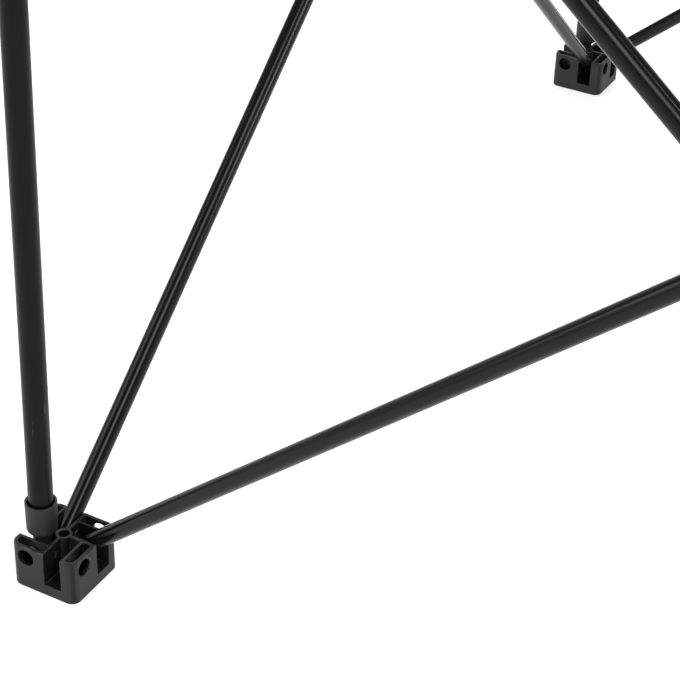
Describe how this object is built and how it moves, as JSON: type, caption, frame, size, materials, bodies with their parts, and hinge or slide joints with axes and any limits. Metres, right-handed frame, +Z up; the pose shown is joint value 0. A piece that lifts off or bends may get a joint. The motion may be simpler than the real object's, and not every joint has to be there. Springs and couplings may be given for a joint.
{
  "type": "folding support frame",
  "caption": "Square pop-up scissor frame of black tubes: moulded corner hubs at foot and top, crossed arms on each side and an upright post at each corner.",
  "frame": {"origin": "on the floor, below the middle of the open frame", "axes": "+Z up; +X to the right and +Y to the back along the hub rows; the frame stands open at rest"},
  "size_m": [0.8946, 0.8946, 0.7568],
  "materials": {
    "hub_plastic": "matte black moulded nylon",
    "socket_plastic": "matte black moulded nylon",
    "plug_nylon": "black nylon",
    "arm_tube": "satin black coated tube",
    "post_tube": "satin black coated tube",
    "pin_steel": "plain steel",
    "rivet_steel": "black coated steel"
  },
  "bodies": {
    "foot_front_left": {"foot_hub_front_left": "hub_plastic", "foot_pins_front_left": "pin_steel"},
    "foot_front_right": {"foot_hub_front_right": "hub_plastic", "foot_pins_front_right": "pin_steel"},
    "foot_back_right": {"foot_hub_back_right": "hub_plastic", "foot_pins_back_right": "pin_steel"},
    "foot_back_left": {"foot_hub_back_left": "hub_plastic", "foot_pins_back_left": "pin_steel"},
    "top_front_left": {"top_hub_front_left": "hub_plastic", "top_pins_front_left": "pin_steel"},
    "top_front_right": {"top_hub_front_right": "hub_plastic", "top_pins_front_right": "pin_steel"},
    "top_back_right": {"top_hub_back_right": "hub_plastic", "top_pins_back_right": "pin_steel"},
    "top_back_left": {"top_hub_back_left": "hub_plastic", "top_pins_back_left": "pin_steel"},
    "front_inner": {"front_inner_arm": "arm_tube", "front_inner_plugs": "plug_nylon", "front_cross_rivet": "rivet_steel", "front_cross_spacer": "plug_nylon"},
    "front_outer": {"front_outer_arm": "arm_tube", "front_outer_plugs": "plug_nylon"},
    "right_inner": {"right_inner_arm": "arm_tube", "right_inner_plugs": "plug_nylon", "right_cross_rivet": "rivet_steel", "right_cross_spacer": "plug_nylon"},
    "right_outer": {"right_outer_arm": "arm_tube", "right_outer_plugs": "plug_nylon"},
    "back_inner": {"back_inner_arm": "arm_tube", "back_inner_plugs": "plug_nylon", "back_cross_rivet": "rivet_steel", "back_cross_spacer": "plug_nylon"},
    "back_outer": {"back_outer_arm": "arm_tube", "back_outer_plugs": "plug_nylon"},
    "left_inner": {"left_inner_arm": "arm_tube", "left_inner_plugs": "plug_nylon", "left_cross_rivet": "rivet_steel", "left_cross_spacer": "plug_nylon"},
    "left_outer": {"left_outer_arm": "arm_tube", "left_outer_plugs": "plug_nylon"},
    "upright_front_left": {"post_front_left": "post_tube", "post_socket_front_left": "socket_plastic", "post_head_front_left": "socket_plastic"},
    "upright_front_right": {"post_front_right": "post_tube", "post_socket_front_right": "socket_plastic", "post_head_front_right": "socket_plastic"},
    "upright_back_right": {"post_back_right": "post_tube", "post_socket_back_right": "socket_plastic", "post_head_back_right": "socket_plastic"},
    "upright_back_left": {"post_back_left": "post_tube", "post_socket_back_left": "socket_plastic", "post_head_back_left": "socket_plastic"}
  },
  "joints": [
    {"name": "fold", "type": "hinge", "parent": "foot_front_left", "child": "front_inner", "pos_m": [-0.4104, -0.4155, 0.0244], "axis": [0, -1, 0], "range_deg": [0, 46.5]},
    {"name": "front_crossing", "type": "hinge", "parent": "front_inner", "child": "front_outer", "pos_m": [0, -0.423, 0.3784], "axis": [0, -1, 0], "range_deg": [-93.19, 0]},
    {"name": "top_front_right_pivot", "type": "hinge", "parent": "front_inner", "child": "top_front_right", "pos_m": [0.4104, -0.4155, 0.7324], "axis": [0, -1, 0], "range_deg": [-46.59, 0]},
    {"name": "foot_front_right_pivot", "type": "hinge", "parent": "front_outer", "child": "foot_front_right", "pos_m": [0.4104, -0.4305, 0.0244], "axis": [0, -1, 0], "range_deg": [0, 46.59]},
    {"name": "top_front_left_pivot", "type": "hinge", "parent": "front_outer", "child": "top_front_left", "pos_m": [-0.4104, -0.4305, 0.7324], "axis": [0, -1, 0], "range_deg": [0, 46.59]},
    {"name": "left_outer_pivot", "type": "hinge", "parent": "foot_front_left", "child": "left_outer", "pos_m": [-0.4305, -0.4104, 0.0244], "axis": [1, 0, 0], "range_deg": [0, 46.59]},
    {"name": "left_crossing", "type": "hinge", "parent": "left_outer", "child": "left_inner", "pos_m": [-0.423, 0, 0.3784], "axis": [1, 0, 0], "range_deg": [-93.19, 0]},
    {"name": "top_back_left_pivot", "type": "hinge", "parent": "left_outer", "child": "top_back_left", "pos_m": [-0.4305, 0.4104, 0.7324], "axis": [1, 0, 0], "range_deg": [-46.59, 0]},
    {"name": "foot_back_left_pivot", "type": "hinge", "parent": "left_inner", "child": "foot_back_left", "pos_m": [-0.4155, 0.4104, 0.0244], "axis": [1, 0, 0], "range_deg": [0, 46.59]},
    {"name": "right_inner_pivot", "type": "hinge", "parent": "foot_front_right", "child": "right_inner", "pos_m": [0.4155, -0.4104, 0.0244], "axis": [1, 0, 0], "range_deg": [0, 46.59]},
    {"name": "right_crossing", "type": "hinge", "parent": "right_inner", "child": "right_outer", "pos_m": [0.423, 0, 0.3784], "axis": [1, 0, 0], "range_deg": [-93.19, 0]},
    {"name": "top_back_right_pivot", "type": "hinge", "parent": "right_inner", "child": "top_back_right", "pos_m": [0.4155, 0.4104, 0.7324], "axis": [1, 0, 0], "range_deg": [-46.59, 0]},
    {"name": "foot_back_right_pivot", "type": "hinge", "parent": "right_outer", "child": "foot_back_right", "pos_m": [0.4305, 0.4104, 0.0244], "axis": [1, 0, 0], "range_deg": [0, 46.59]},
    {"name": "back_outer_pivot", "type": "hinge", "parent": "foot_back_left", "child": "back_outer", "pos_m": [-0.4104, 0.4305, 0.0244], "axis": [0, -1, 0], "range_deg": [0, 46.59]},
    {"name": "back_crossing", "type": "hinge", "parent": "back_outer", "child": "back_inner", "pos_m": [0, 0.423, 0.3784], "axis": [0, -1, 0], "range_deg": [-93.19, 0]},
    {"name": "upright_front_left_swing", "type": "hinge", "parent": "foot_front_left", "child": "upright_front_left", "pos_m": [-0.4356, -0.4305, 0.0244], "axis": [0, -1, 0], "range_deg": [0, 20]},
    {"name": "upright_front_right_swing", "type": "hinge", "parent": "foot_front_right", "child": "upright_front_right", "pos_m": [0.4305, -0.4356, 0.0244], "axis": [1, 0, 0], "range_deg": [0, 20]},
    {"name": "upright_back_right_swing", "type": "hinge", "parent": "foot_back_right", "child": "upright_back_right", "pos_m": [0.4356, 0.4305, 0.0244], "axis": [0, 1, 0], "range_deg": [0, 20]},
    {"name": "upright_back_left_swing", "type": "hinge", "parent": "foot_back_left", "child": "upright_back_left", "pos_m": [-0.4305, 0.4356, 0.0244], "axis": [-1, 0, 0], "range_deg": [0, 20]}
  ],
  "couplings": [
    {"joint": "front_crossing", "follows": "fold", "ratio": -2},
    {"joint": "top_front_right_pivot", "follows": "fold", "ratio": -1},
    {"joint": "foot_front_right_pivot", "follows": "fold", "ratio": 1},
    {"joint": "top_front_left_pivot", "follows": "fold", "ratio": 1},
    {"joint": "left_outer_pivot", "follows": "fold", "ratio": 1},
    {"joint": "left_crossing", "follows": "fold", "ratio": -2},
    {"joint": "top_back_left_pivot", "follows": "fold", "ratio": -1},
    {"joint": "foot_back_left_pivot", "follows": "fold", "ratio": 1},
    {"joint": "right_inner_pivot", "follows": "fold", "ratio": 1},
    {"joint": "right_crossing", "follows": "fold", "ratio": -2},
    {"joint": "top_back_right_pivot", "follows": "fold", "ratio": -1},
    {"joint": "foot_back_right_pivot", "follows": "fold", "ratio": 1},
    {"joint": "back_outer_pivot", "follows": "fold", "ratio": 1},
    {"joint": "back_crossing", "follows": "fold", "ratio": -2}
  ]
}
